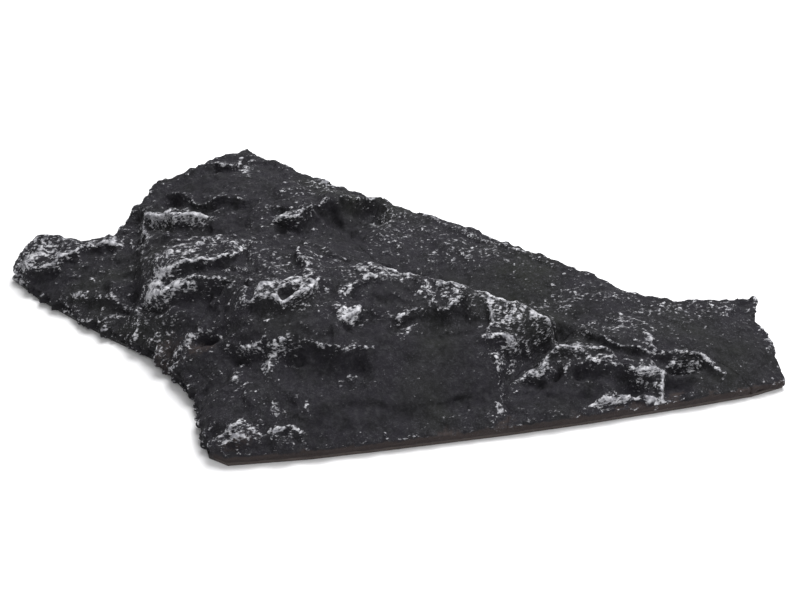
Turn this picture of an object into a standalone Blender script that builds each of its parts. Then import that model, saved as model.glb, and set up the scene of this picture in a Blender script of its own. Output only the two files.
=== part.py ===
"""A basalt-look rock panel lying on its flat back.

Three painted rock skins meet along two open cracks and a valley. Each skin is a thick open-backed
cap with its own rigid foam core inside, and all of them sit on one thin backing sheet.
"""

import bpy
import numpy as np
from mathutils import Vector, noise
from mathutils.geometry import delaunay_2d_cdt

# Driving dimensions, in metres. X runs along the straight front edge and Y from front to far side.
LENGTH = 0.606
DEPTH = 0.382
RELIEF = 0.071  # highest crag above the sheet
SHEET = 0.003  # backing sheet
WALL = 0.005  # skin at its sides
ROOF = 0.004  # skin over its core, under everything within reach of a point
REACH = 7  # that reach, in plan units
LEAST_ROOF = 0.0025  # lowest that a hollow reaches, above the seat
GAP = 0.0003  # glue line between pieces that touch
CORE_CLEARANCE = 0.001  # adhesive bed between a core's top and its skin
FACET = 0.0105  # spacing of the surface points
ROW_SHARE = 0.866  # spacing of their rows, as a share of that
CREST_CLEARANCE = 0.4 * FACET
GRID_CLEARANCE = 0.6 * FACET
LEAST_HEIGHT = 0.0055  # lowest that a skin's top comes, above the seat
SEAT = SHEET + GAP

# The drawn shape: plan units from the middle of the outline's box, and heights above the seat.
DRAWN_LENGTH = 606
DRAWN_DEPTH = 382
DRAWN_RELIEF = 71
SCALE_X = LENGTH / DRAWN_LENGTH
SCALE_Y = DEPTH / DRAWN_DEPTH
SCALE_Z = RELIEF / DRAWN_RELIEF

# Outline, anticlockwise from above: x, y, height of the side there. Joints end at the named points.
FRONT_CRACK = (69, -191, 7)
FRONT_TOE = (265, -187, 7)
FAR_VALLEY = (27, 89, 23)
FRONT_LEFT = [(-149, -172, 10), (-136, -182, 8), (-77, -187, 7), (-18, -189, 7)]
FRONT_MIDDLE = [(134, -191, 9), (215, -189, 8)]
RIGHT_END = [(293, -182, 6), (299, -145, 11), (294, -124, 14), (303, -100, 19), (258, -93, 17)]
FAR_RIGHT = [(235, -88, 15), (207, -69, 17), (167, -30, 18), (125, 11, 19), (80, 50, 20), (48, 74, 21)]
FAR_PEAK = [
    (-6, 109, 25), (-43, 144, 27), (-74, 174, 28), (-88, 191, 28), (-119, 176, 30),
    (-150, 158, 29), (-174, 150, 27),
]
FAR_LEFT = [(-182, 135, 25), (-202, 108, 23), (-220, 80, 22), (-247, 80, 23), (-277, 86, 24)]
WING_TIP = [(-295, 75, 19), (-303, 66, 9), (-280, 35, 7), (-249, 2, 7), (-221, -27, 7)]
LEFT_NOTCH = [(-188, -57, 8), (-177, -74, 9), (-156, -112, 11), (-152, -150, 10)]

# Joints between the three masses, from the far side or the fork to the front edge.
FORK = (129, -112)
VALLEY = [
    (18, 80), (4, 66), (-8, 52), (-12, 36), (-6, 14), (3, -8), (20, -33), (54, -54), (90, -76),
    (114, -94),
]
CRACK = [
    (124, -121), (112, -128), (103, -135), (93, -142), (84, -149), (76, -158), (72, -167),
    (75, -176),
]
SHELF = [(143, -107), (153, -119), (161, -131), (172, -142), (190, -149), (228, -153), (248, -168)]
CRACK_STAGES = (0, 0.3, 0.6, 1)  # shares of the crack, from the fork to the front edge
CRACK_WIDTHS = (5, 8, 7, 4)
CRACK_FLOORS = (17, 6)  # at the fork and at the front edge

# Spot heights: x, y, height above the seat.
FRONT_SLOPE = [
    (-130, -168, 22), (-104, -172, 20), (-140, -135, 23), (-90, -158, 25), (-60, -168, 19),
    (-20, -160, 22),
    (30, -162, 17), (60, -166, 12), (0, -178, 13), (-50, -180, 12), (50, -180, 9), (-120, -128, 33),
    (-80, -138, 34), (-40, -142, 33), (0, -136, 35), (40, -132, 35), (-112, -108, 43), (-79, -118, 51),
    (-47, -126, 50), (-25, -122, 47),
]
RIDGE = [
    (-30, -60, 59), (-6, -46, 58), (20, -61, 57), (38, -72, 56), (50, -80, 55), (71, -90, 52),
    (86, -97, 50),
    (97, -102, 48), (107, -108, 45), (118, -115, 42), (123, -119, 39), (10, -95, 52), (40, -96, 50),
    (75, -110, 46), (95, -122, 43), (70, -136, 33), (66, -152, 23), (-14, -8, 37), (20, -31, 27),
    (54, -51, 24),
    (90, -73, 22), (114, -91, 21), (133, -106, 20), (116, -128, 31), (100, -138, 26),
]
CROWN = [
    (-91, -88, 69), (-70, -90, 68), (-110, -86, 59), (-95, -62, 65), (-60, -48, 63), (-70, -20, 59),
    (-40, -20, 53), (-100, -40, 59), (-120, -58, 55), (-60, 30, 51), (-42, 48, 52), (-28, 58, 47),
    (-70, 60, 43), (-40, 25, 43), (-20, 30, 34), (-18, 62, 47), (-6, 74, 41),
]
FAR_SLOPE = [
    (-102, 92, 43), (-90, 130, 37), (-100, 158, 33), (-140, 120, 35), (-60, 110, 37), (-20, 98, 33),
    (-55, 80, 39), (-130, 90, 39), (-160, 62, 46), (-140, 58, 46), (-140, 42, 40), (-110, 45, 42),
    (-90, 20, 51), (-105, 65, 44), (-185, 60, 35), (-180, 100, 29),
]
BOULDER = [
    (-150, 8, 61), (-112, 2, 59), (-151, -22, 66), (-118, -20, 63), (-170, -10, 58), (-174, -36, 54),
    (-150, -42, 59), (-135, -60, 45), (-165, -56, 39),
]
WING = [
    (-192, 10, 37), (-194, -20, 33), (-196, -42, 25), (-228, 32, 26), (-225, 5, 22), (-260, 38, 23),
    (-285, 56, 21), (-258, 60, 26), (-232, 66, 24), (-205, 70, 28), (-240, 8, 18), (-262, 18, 13),
    (-212, -14, 19), (-185, -62, 25), (-150, -78, 33), (-158, -96, 21), (-128, -90, 37),
]
SLAB = [
    (45, 62, 23), (12, 50, 27), (25, 15, 27), (75, 15, 22), (120, -30, 21), (165, -70, 20),
    (195, -95, 19),
    (225, -120, 20), (265, -110, 19), (290, -150, 14), (283, -170, 10), (250, -140, 18),
    (275, -130, 18),
    (0, 75, 27),
]
TOE = [
    (122, -139, 31), (144, -151, 30), (135, -122, 24), (153, -126, 25), (163, -138, 27),
    (177, -150, 27),
    (202, -157, 24), (224, -163, 21), (240, -174, 15), (256, -180, 9), (150, -164, 24), (177, -170, 24),
    (192, -174, 23), (118, -160, 21), (100, -170, 11), (210, -178, 12), (130, -178, 12), (93, -150, 15),
]
SPOTS = FRONT_SLOPE + RIDGE + CROWN + FAR_SLOPE + BOULDER + WING + SLAB + TOE
ROUNDING = 7  # how softly the surface turns at a spot height
SPOT_STEP = 22  # between the heights taken from the outline
EASING = 1.5  # how far the surface may miss one

# Ledges: the crest line, walked with its drop on the right, then the rise behind it, the drop in front,
# and the widths of the rise, the drop and the hollow below.
LEDGES = [
    # across the front of the crown, and the ring over it
    ([(-133, -96), (-117, -106), (-101, -114), (-84, -119), (-64, -121), (-52, -129), (-41, -130),
     (-18, -126)], 3, 10, 18, 5, 26),
    ([(-120, -79), (-106, -82), (-92, -86), (-82, -92), (-68, -89), (-60, -84), (-54, -73),
     (-50, -58)], 4, 7, 12, 5, 20),
    # the boulder: its top, its front shelf and its left side
    ([(-178, -21), (-164, -29), (-148, -25), (-132, -25), (-116, -18), (-102, -6)], 2, 8, 12, 5, 18),
    ([(-193, -25), (-182, -33), (-170, -43), (-159, -42), (-150, -45), (-134, -48),
     (-118, -46)], 3, 10, 14, 5, 12),
    ([(-184, 112), (-188, 80), (-185, 50), (-190, 20), (-187, -4), (-193, -30)], 2, 10, 14, 9, 22),
    ([(-189, 94), (-173, 76), (-163, 66), (-160, 57), (-147, 56), (-128, 65)], 3, 9, 12, 5, 18),
    # the lump below the far edge and its deep side
    ([(-80, 44), (-71, 40), (-58, 37), (-49, 43), (-35, 54), (-25, 60), (-18, 62), (-12, 66),
     (-6, 72), (4, 80), (22, 90)], 3, 15, 18, 5, 36),
    # the far peak
    ([(-128, 165), (-114, 156), (-104, 155), (-97, 163), (-92, 180)], 2, 5, 10, 5, 16),
    ([(-168, 124), (-146, 103), (-137, 93), (-124, 88), (-102, 87), (-84, 89)], 2, 8, 22, 5, 28),
    # the left wing: its flap and its brink
    ([(-304, 64), (-295, 58), (-285, 51), (-276, 47), (-261, 46), (-256, 54), (-244, 58),
     (-232, 65), (-204, 63)], 3, 8, 14, 5, 18),
    ([(-264, 11), (-251, 13), (-238, 6), (-217, -5), (-193, -22)], 2, 5, 8, 5, 12),
    ([(-161, -86), (-154, -83), (-146, -79), (-140, -80), (-135, -84), (-126, -92)], 2, 5, 8, 5, 10),
    # the ridge: its far side, its left end and its two brinks
    ([(131, -116), (118, -113), (107, -107), (97, -101), (71, -89), (50, -79), (37, -71),
     (14, -58), (-4, -50)], 2, 5, 10, 5, 14),
    ([(-45, -109), (-33, -106), (-26, -100), (-22, -91)], 3, 9, 12, 5, 24),
    ([(-37, -84), (-27, -75), (-12, -69), (-4, -64)], 2, 5, 8, 5, 12),
    ([(-7, -99), (5, -105), (13, -102), (22, -101), (34, -95)], 2, 6, 10, 5, 20),
    ([(33, -90), (36, -100), (43, -102), (50, -98), (61, -92)], 3, 9, 10, 5, 24),
    # the ridge's right end: the facet, the brink over the crack and the edge below it
    ([(60, -126), (67, -128), (78, -127), (85, -132), (93, -132), (99, -127)], 3, 7, 16, 5, 14),
    ([(88, -132), (98, -128), (102, -131), (109, -125), (116, -121), (124, -118), (131, -108),
     (131, -96)], 2, 17, 10, 5, 18),
    ([(76, -95), (76, -107), (74, -116), (67, -127)], 2, 4, 10, 5, 14),
    # the low outcrop: its near crests, the edge under them and its rear crest
    ([(90, -150), (105, -149), (116, -141), (128, -141), (134, -147), (146, -148)], 3, 5, 8, 5, 14),
    ([(80, -155), (93, -151), (104, -152), (114, -154)], 1, 5, 6, 5, 14),
    ([(118, -163), (128, -155), (139, -154), (149, -160), (164, -163), (177, -170),
     (197, -170)], 3, 8, 8, 5, 16),
    ([(190, -190), (193, -181), (195, -174), (199, -168)], 4, 9, 8, 5, 14),
    ([(131, -186), (141, -186), (152, -186), (163, -185), (172, -183), (180, -188),
     (190, -191)], 3.5, 4, 7, 5, 6),
    ([(141, -147), (152, -146), (164, -149)], 1.5, 4, 5, 5, 8),
    ([(143, -110), (153, -123), (161, -136), (170, -146), (181, -149), (191, -154), (228, -158),
     (234, -167), (246, -177)], 3, 5, 8, 5, 14),
    ([(197, -163), (214, -160), (232, -163)], 1, 10, 6, 5, 10),
    # the bumps at the front left
    ([(-142, -176), (-130, -175), (-120, -177), (-108, -180)], 2, 4, 6, 5, 6),
    ([(-104, -180), (-97, -174), (-89, -173), (-82, -177), (-80, -185)], 2, 4, 8, 5, 8),
]
LEDGE_TAPER = 14
CRAG_HEIGHT = 2.2
CRAG_SIZE = 34
CRAG_ROUGHNESS = 0.9

# Humps and pits: x, y, half width, half depth, height.
HUMPS = [
    (-79, -81, 8, 5.5, -11), (116, -157, 4, 3.5, -10), (-140, -92, 9, 6, 2),
    (208, -178, 10, 7, -9), (170, -177, 10, 6, -6), (-10, 38, 20, 26, -5), (-126, -174, 17, 5, 5),
    (-92, -178, 11, 5, 4), (-105, -182, 4, 5, -4), (251, -178, 11, 7, 5), (-95, -128, 7, 13, 3),
    (-225, 20, 22, 16, -3), (45, -116, 22, 12, -3), (-108, 62, 22, 14, -3), (-138, 38, 22, 9, -3),
]


def ease(share):
    share = np.clip(share, 0, 1)
    return share * share * (3 - 2 * share)


def along(line, x, y):
    """Distance from a line of points, positive on its right, and how far along it that is."""
    line = np.array(line, float)
    runs = np.diff(line, axis=0)
    lengths = np.hypot(runs[:, 0], runs[:, 1])
    before = np.concatenate([[0], np.cumsum(lengths)])
    nearest = np.full(np.shape(x), np.inf)
    side = np.zeros(np.shape(x))
    travelled = np.zeros(np.shape(x))
    for start, run, length, done in zip(line, runs / lengths[:, None], lengths, before):
        dx, dy = x - start[0], y - start[1]
        step = np.clip(dx * run[0] + dy * run[1], 0, length)
        distance = np.hypot(dx - step * run[0], dy - step * run[1])
        closer = distance < nearest
        nearest = np.where(closer, distance, nearest)
        side = np.where(closer, np.where(dx * run[1] - dy * run[0] > 0, 1, -1), side)
        travelled = np.where(closer, done + step, travelled)
    return side * nearest, travelled, before[-1]


def ledge(crest, rise, drop, behind, steep, hollow, x, y):
    distance, travelled, length = along(crest, x, y)
    fade = ease(np.minimum(travelled, length - travelled) / min(LEDGE_TAPER, length / 3))
    rising = rise * np.clip(1 + distance / behind, 0, 1) ** 1.6
    fallen = 1 - np.clip(1 - distance / steep, 0, 1) ** 2
    falling = rise - (rise + drop) * fallen + drop * ease((distance - steep) / hollow)
    return fade * np.where(distance < 0, rising, falling)


def outline():
    return (
        FRONT_LEFT + [FRONT_CRACK] + FRONT_MIDDLE + [FRONT_TOE] + RIGHT_END + FAR_RIGHT
        + [FAR_VALLEY] + FAR_PEAK + FAR_LEFT + WING_TIP + LEFT_NOTCH
    )


def divided(loop, spacing):
    """The corners of a closed loop, with equal steps between them."""
    loop = np.array(loop, float)
    points = []
    for start, end in zip(loop, np.roll(loop, -1, axis=0)):
        steps = max(1, round(np.hypot(*(end - start)[:2]) / spacing))
        points += [start + (end - start) * i / steps for i in range(steps)]
    return np.array(points)


class Rock:
    """The rock's top surface over the drawn plan."""

    def __init__(self):
        self.spots = np.vstack([divided(outline(), SPOT_STEP), SPOTS])
        count = len(self.spots)
        apart = self.spots[:, None, :2] - self.spots[None, :, :2]
        system = np.zeros((count + 3, count + 3))
        system[:count, :count] = np.sqrt((apart**2).sum(axis=2) + ROUNDING**2) - EASING * np.eye(count)
        system[:count, count] = system[count, :count] = 1
        system[:count, count + 1:] = self.spots[:, :2]
        system[count + 1:, :count] = self.spots[:, :2].T
        self.weights = np.linalg.solve(system, np.append(self.spots[:, 2], [0, 0, 0]))

    def height(self, x, y):
        swell = self.weights[-3] + self.weights[-2] * x + self.weights[-1] * y
        for (spot_x, spot_y, _), weight in zip(self.spots, self.weights):
            swell = swell + weight * np.sqrt((x - spot_x) ** 2 + (y - spot_y) ** 2 + ROUNDING**2)
        for crest, *sizes in LEDGES:
            swell = swell + ledge(crest, *sizes, x, y)
        for middle_x, middle_y, half_x, half_y, height in HUMPS:
            away = ((x - middle_x) / half_x) ** 2 + ((y - middle_y) / half_y) ** 2
            swell = swell + height * np.exp(-away)
        places = np.stack([x, y, 0 * x], axis=-1).reshape(-1, 3) / CRAG_SIZE
        crags = [noise.fractal(Vector(place), CRAG_ROUGHNESS, 2.0, 2) for place in places]
        swell = swell + CRAG_HEIGHT * np.reshape(crags, np.shape(x))
        distance, travelled, length = along([FORK] + CRACK + [FRONT_CRACK[:2]], x, y)
        floor = np.interp(travelled, (0, length), CRACK_FLOORS)
        width = np.interp(travelled / length, CRACK_STAGES, CRACK_WIDTHS)
        opened = np.exp(-((distance / width) ** 2))
        return swell - opened * np.maximum(swell - floor, 0)


    def lowest(self, x, y):
        """The least height at a point and within reach of it."""
        turns = np.arange(8) * np.pi / 4
        around = [self.height(x + REACH * np.cos(turn), y + REACH * np.sin(turn)) for turn in turns]
        return np.minimum(self.height(x, y), np.min(around, axis=0))


def plan(points):
    """Drawn plan points in metres."""
    return np.array([point[:2] for point in points], float) * (SCALE_X, SCALE_Y)


def inset(loop, distance):
    """An anticlockwise loop moved inwards, each side parallel to itself."""
    ahead = np.roll(loop, -1, axis=0) - loop
    normals = np.stack([-ahead[:, 1], ahead[:, 0]], axis=1) / np.hypot(*ahead.T)[:, None]
    before = np.roll(normals, 1, axis=0)
    share = 1 + (normals * before).sum(axis=1)
    return loop + distance * (normals + before) / share[:, None]


def inside(points, loop):
    x, y = points.T
    odd = np.zeros(len(points), bool)
    for (x0, y0), (x1, y1) in zip(loop, np.roll(loop, -1, axis=0)):
        if y0 != y1:
            odd ^= ((y0 > y) != (y1 > y)) & (x < x0 + (x1 - x0) * (y - y0) / (y1 - y0))
    return odd


def clear_of(points, others, distance):
    apart = points[:, None, :] - others[None, :, :]
    return points[(apart**2).sum(axis=2).min(axis=1) > distance**2]


def thinned(points, distance):
    """The points in turn, leaving out any that comes too close to one before it."""
    kept = points[:1]
    for point in points[1:]:
        kept = np.vstack([kept, clear_of(point[None], kept, distance)])
    return kept


def crest_points():
    """Points along each ledge's crest and along the foot of its drop."""
    points = []
    for crest, _, _, _, steep, _ in LEDGES:
        crest = np.array(crest, float)
        ahead = np.gradient(crest, axis=0)
        right = np.stack([ahead[:, 1], -ahead[:, 0]], axis=1) / np.hypot(*ahead.T)[:, None]
        points += [crest, crest + right * steep]
    return plan(np.vstack(points))


def surface_points(loop):
    """Crest points and an even triangular grid, inside a loop and clear of its edge."""
    low, high = loop.min(axis=0), loop.max(axis=0)
    rows = np.arange(low[1], high[1], FACET * ROW_SHARE)
    columns = np.arange(low[0], high[0], FACET)
    grid = [(x + (row % 2) * FACET / 2, y) for row, y in enumerate(rows) for x in columns]
    edge = divided(loop, FACET / 2)
    crests = thinned(clear_of(crest_points(), edge, CREST_CLEARANCE), CREST_CLEARANCE)
    crests = crests[inside(crests, loop)]
    grid = clear_of(np.array(grid), np.vstack([edge, crests]), GRID_CLEARANCE)
    return np.vstack([crests, grid[inside(grid, loop)]])


def triangles(points, outer, edges):
    """Triangles over all the points, inside the outer loop of corner numbers, that keep the edges."""
    found = delaunay_2d_cdt([Vector(point) for point in points], edges, [outer], 1, 1e-7)
    back = {new: old[0] for new, old in enumerate(found[3])}
    return np.array([[back[corner] for corner in face] for face in found[2]])


def ring(start, count):
    return [(start + i, start + (i + 1) % count) for i in range(count)]


def make_object(name, points, faces, material):
    mesh = bpy.data.meshes.new(name)
    mesh.from_pydata([tuple(point) for point in points], [], [tuple(face) for face in faces])
    mesh.materials.append(material)
    mesh.validate()
    made = bpy.data.objects.new(name, mesh)
    bpy.context.scene.collection.objects.link(made)
    return made


def make_material(name, colour, roughness):
    material = bpy.data.materials.new(name)
    material.use_nodes = True
    shader = material.node_tree.nodes["Principled BSDF"]
    shader.inputs["Base Color"].default_value = (*colour, 1)
    shader.inputs["Roughness"].default_value = roughness
    shader.inputs["Metallic"].default_value = 0
    return material


def at_height(flat, height):
    return np.column_stack([flat, np.broadcast_to(height, len(flat))])


def side_faces(upper, lower):
    """Quads between two matching loops of points, facing out of an anticlockwise loop."""
    return [(low0, low1, up1, up0) for (up0, up1), (low0, low1) in zip(upper, lower)]


def make_mass(name, loop, rock, skin_material, core_material):
    """One rock mass: its skin, hollow underneath, and the core that fills the hollow."""
    outer = divided(inset(plan(loop), GAP / 2), FACET)
    inner = divided(inset(plan(loop), GAP / 2 + WALL), FACET)
    core_edge = inset(inner, GAP)
    flat = np.vstack([outer, inner, surface_points(inner)])
    first = len(outer)
    rings = ring(0, first), ring(first, len(inner))
    faces = triangles(flat, list(range(first)), rings[1])
    roofed = inside(flat[faces].mean(axis=1), inner)
    drawn = flat / (SCALE_X, SCALE_Y)
    above = np.maximum(rock.height(drawn[:, 0], drawn[:, 1]) * SCALE_Z, LEAST_HEIGHT)
    hollow = np.maximum(rock.lowest(drawn[:, 0], drawn[:, 1]) * SCALE_Z - ROOF, LEAST_ROOF)
    count = len(flat)

    top = at_height(flat, SEAT + above)
    roof = at_height(flat, SEAT + hollow)
    seat = at_height(flat, SEAT)
    skin = [tuple(face) for face in faces]
    skin += [tuple(face[::-1] + count) for face in faces[roofed]]
    skin += [tuple(face[::-1] + 2 * count) for face in faces[~roofed]]
    skin += side_faces(rings[0], [(a + 2 * count, b + 2 * count) for a, b in rings[0]])
    lining = [(b + count, a + count) for a, b in rings[1]]
    lining_foot = [(b + 2 * count, a + 2 * count) for a, b in rings[1]]
    skin += side_faces(lining, lining_foot)
    make_object(f"{name}_skin", *used(np.vstack([top, roof, seat]), skin), skin_material)

    bed = at_height(flat, SEAT + hollow - CORE_CLEARANCE)
    bed[first:first + len(inner), :2] = core_edge
    lowest = at_height(core_edge, SEAT)
    core = [tuple(face) for face in faces[roofed]]
    core += side_faces(rings[1], ring(count, len(inner)))
    core.append(tuple(count + i for i in reversed(range(len(inner)))))
    make_object(f"{name}_core", *used(np.vstack([bed, lowest]), core), core_material)


def used(points, faces):
    """Only the points that the faces use."""
    kept = sorted({corner for face in faces for corner in face})
    place = {old: new for new, old in enumerate(kept)}
    return points[kept], [tuple(place[corner] for corner in face) for face in faces]


def make_sheet(material):
    edge = plan(outline())
    count = len(edge)
    points = np.vstack([at_height(edge, SHEET), at_height(edge, 0)])
    faces = [tuple(range(count)), tuple(reversed(range(count, 2 * count)))]
    faces += side_faces(ring(0, count), ring(count, count))
    make_object("backing_sheet", points, faces, material)


def main():
    for old in list(bpy.data.objects):
        bpy.data.objects.remove(old)
    paint = make_material("charcoal_paint", (0.05, 0.05, 0.055), 0.78)
    foam = make_material("brown_foam", (0.3, 0.2, 0.13), 0.9)
    resin = make_material("sheet_resin", (0.1, 0.075, 0.06), 0.7)
    rock = Rock()
    outcrop = (
        FAR_PEAK + FAR_LEFT + WING_TIP + LEFT_NOTCH + FRONT_LEFT + [FRONT_CRACK] + CRACK[::-1] + [FORK]
        + VALLEY[::-1] + [FAR_VALLEY]
    )
    slab = RIGHT_END + FAR_RIGHT + [FAR_VALLEY] + VALLEY + [FORK] + SHELF + [FRONT_TOE]
    toe = FRONT_MIDDLE + [FRONT_TOE] + SHELF[::-1] + [FORK] + CRACK + [FRONT_CRACK]
    make_mass("outcrop", outcrop, rock, paint, foam)
    make_mass("slab", slab, rock, paint, foam)
    make_mass("toe", toe, rock, paint, foam)
    make_sheet(resin)


main()
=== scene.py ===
"""Looks of the basalt-look rock panel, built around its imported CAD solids."""

import math

import bmesh
import bpy
import numpy as np
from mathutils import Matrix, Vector, noise
from mathutils.geometry import delaunay_2d_cdt


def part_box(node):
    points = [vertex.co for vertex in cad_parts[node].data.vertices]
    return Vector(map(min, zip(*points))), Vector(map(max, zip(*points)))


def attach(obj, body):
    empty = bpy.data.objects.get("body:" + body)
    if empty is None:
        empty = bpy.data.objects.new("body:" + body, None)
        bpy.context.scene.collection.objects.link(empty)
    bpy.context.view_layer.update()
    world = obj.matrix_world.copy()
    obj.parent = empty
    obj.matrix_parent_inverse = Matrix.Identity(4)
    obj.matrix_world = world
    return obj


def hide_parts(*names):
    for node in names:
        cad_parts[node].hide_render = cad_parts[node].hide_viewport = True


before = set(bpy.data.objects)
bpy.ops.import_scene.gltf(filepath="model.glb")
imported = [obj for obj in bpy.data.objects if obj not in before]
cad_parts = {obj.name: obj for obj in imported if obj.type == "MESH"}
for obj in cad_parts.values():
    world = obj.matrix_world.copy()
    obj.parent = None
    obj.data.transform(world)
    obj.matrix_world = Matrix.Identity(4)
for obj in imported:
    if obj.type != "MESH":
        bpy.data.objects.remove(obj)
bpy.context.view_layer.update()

MM = 0.001
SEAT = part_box("outcrop_skin")[0][2]
LOW = Vector(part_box("backing_sheet")[0])
HIGH = Vector(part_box("backing_sheet")[1])
PLAN_WIDTH = 606
PLAN_DEPTH = 382
SCALE_X = (HIGH.x - LOW.x) / PLAN_WIDTH
SCALE_Y = (HIGH.y - LOW.y) / PLAN_DEPTH
SCALE_Z = MM
VOXEL = 0.00125  # size of the even faces that the rock is remeshed in
LAP = 0.35  # how far the painted coat laps over each joint, in plan units
GRID = 1.6  # plan units between the heights that the voxels are made from
BELOW_SEAT = 6 * MM  # how far each block reaches under the seat, where it is cut
LEAST_HEIGHT = 5.5  # the lowest that the rock gets above the seat
OUTLINE_STEP = 22  # plan units between the spot heights along the outline
SIDE_REACH = 9  # plan units from an outer side over which the surface is torn

# The drawn shape, as in the CAD: plan units from the middle of the outline's box, heights above the seat.
FRONT_CRACK = (69, -191, 7)
FRONT_TOE = (265, -187, 7)
FAR_VALLEY = (27, 89, 23)
FRONT_LEFT = [(-149, -172, 10), (-136, -182, 8), (-77, -187, 7), (-18, -189, 7)]
FRONT_MIDDLE = [(134, -191, 9), (215, -189, 8)]
RIGHT_END = [(293, -182, 6), (299, -145, 11), (294, -124, 14), (303, -100, 19), (258, -93, 17)]
FAR_RIGHT = [(235, -88, 15), (207, -69, 17), (167, -30, 18), (125, 11, 19), (80, 50, 20), (48, 74, 21)]
FAR_PEAK = [
    (-6, 109, 25), (-43, 144, 27), (-74, 174, 28), (-88, 191, 28), (-119, 176, 30), (-150, 158, 29),
    (-174, 150, 27),
]
FAR_LEFT = [(-182, 135, 25), (-202, 108, 23), (-220, 80, 22), (-247, 80, 23), (-277, 86, 24)]
WING_TIP = [(-295, 75, 19), (-303, 66, 9), (-280, 35, 7), (-249, 2, 7), (-221, -27, 7)]
LEFT_NOTCH = [(-188, -57, 8), (-177, -74, 9), (-156, -112, 11), (-152, -150, 10)]
OUTLINE = (
    FRONT_LEFT + [FRONT_CRACK] + FRONT_MIDDLE + [FRONT_TOE] + RIGHT_END + FAR_RIGHT
    + [FAR_VALLEY] + FAR_PEAK + FAR_LEFT + WING_TIP + LEFT_NOTCH
)
FORK = (129, -112)
VALLEY = [
    (18, 80), (4, 66), (-8, 52), (-12, 36), (-6, 14), (3, -8), (20, -33), (54, -54), (90, -76), (114, -94),
]
CRACK = [(124, -121), (112, -128), (103, -135), (93, -142), (84, -149), (76, -158), (72, -167), (75, -176)]
SHELF = [(143, -107), (153, -119), (161, -131), (172, -142), (190, -149), (228, -153), (248, -168)]
CRACK_LINE = [FORK] + CRACK + [FRONT_CRACK[:2]]
CRACK_STAGES = (0, 0.3, 0.6, 1)  # shares of the way from the fork to the front edge
CRACK_WIDTHS = (3.5, 8, 7, 2.5)  # at each stage
CRACK_FLOORS = (17, 5.5)  # at the fork and at the front edge
OUTCROP_PLAN = (
    FAR_PEAK + FAR_LEFT + WING_TIP + LEFT_NOTCH + FRONT_LEFT + [FRONT_CRACK] + CRACK[::-1] + [FORK]
    + VALLEY[::-1] + [FAR_VALLEY]
)
SLAB_PLAN = RIGHT_END + FAR_RIGHT + [FAR_VALLEY] + VALLEY + [FORK] + SHELF + [FRONT_TOE]
TOE_PLAN = FRONT_MIDDLE + [FRONT_TOE] + SHELF[::-1] + [FORK] + CRACK + [FRONT_CRACK]
PLANS = {"outcrop": OUTCROP_PLAN, "slab": SLAB_PLAN, "toe": TOE_PLAN}
JOINTS = [[FAR_VALLEY[:2]] + VALLEY + [FORK], CRACK_LINE, [FORK] + SHELF + [FRONT_TOE[:2]]]
LEFT_SIDE = LEFT_NOTCH + FRONT_LEFT[:1]
OUTER_SIDES = [FRONT_TOE] + RIGHT_END + FAR_RIGHT + FAR_PEAK + FAR_LEFT + WING_TIP + LEFT_SIDE

FRONT_SLOPE = [
    (-130, -168, 22), (-104, -172, 20), (-140, -135, 23), (-90, -158, 25), (-60, -168, 19), (-20, -160, 22),
    (30, -162, 17), (60, -166, 12), (0, -178, 13), (-50, -180, 12), (50, -180, 9), (-120, -128, 33),
    (-80, -138, 34), (-40, -142, 33), (0, -136, 35), (40, -132, 35), (-112, -108, 43), (-79, -118, 51),
    (-47, -126, 50), (-25, -122, 47),
]
RIDGE = [
    (-30, -60, 59), (-6, -46, 58), (20, -61, 57), (38, -72, 56), (50, -80, 55), (71, -90, 52),
    (86, -97, 50),
    (97, -102, 48), (107, -108, 45), (118, -115, 42), (123, -119, 39), (10, -95, 52), (40, -96, 50),
    (75, -110, 46), (95, -122, 43), (70, -136, 33), (66, -152, 23), (-14, -8, 37), (20, -31, 27),
    (54, -51, 24),
    (90, -73, 22), (114, -91, 21), (133, -106, 20), (116, -128, 31), (100, -138, 26),
]
CROWN = [
    (-91, -88, 69), (-70, -90, 68), (-110, -86, 59), (-95, -62, 65), (-60, -48, 63), (-70, -20, 59),
    (-40, -20, 53), (-100, -40, 59), (-120, -58, 55), (-60, 30, 51), (-42, 48, 52), (-28, 58, 47),
    (-70, 60, 43), (-40, 25, 43), (-20, 30, 34), (-18, 62, 47), (-6, 74, 41),
]
FAR_SLOPE = [
    (-102, 92, 43), (-90, 130, 37), (-100, 158, 33), (-140, 120, 35), (-60, 110, 37), (-20, 98, 33),
    (-55, 80, 39), (-130, 90, 39), (-160, 62, 46), (-140, 58, 46), (-140, 42, 40), (-110, 45, 42),
    (-90, 20, 51), (-105, 65, 44), (-185, 60, 35), (-180, 100, 29),
]
BOULDER = [
    (-150, 8, 61), (-112, 2, 59), (-151, -22, 66), (-118, -20, 63), (-170, -10, 58), (-174, -36, 54),
    (-150, -42, 59), (-135, -60, 45), (-165, -56, 39),
]
WING = [
    (-192, 10, 37), (-194, -20, 33), (-196, -42, 25), (-228, 32, 26), (-225, 5, 22), (-260, 38, 23),
    (-285, 56, 21), (-258, 60, 26), (-232, 66, 24), (-205, 70, 28), (-240, 8, 18), (-262, 18, 13),
    (-212, -14, 19), (-185, -62, 25), (-150, -78, 33), (-158, -96, 21), (-128, -90, 37),
]
SLAB = [
    (45, 62, 23), (12, 50, 27), (25, 15, 27), (75, 15, 22), (120, -30, 21), (165, -70, 20), (195, -95, 19),
    (225, -120, 20), (265, -110, 19), (290, -150, 14), (283, -170, 10), (250, -140, 18), (275, -130, 18),
    (0, 75, 27),
]
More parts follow.
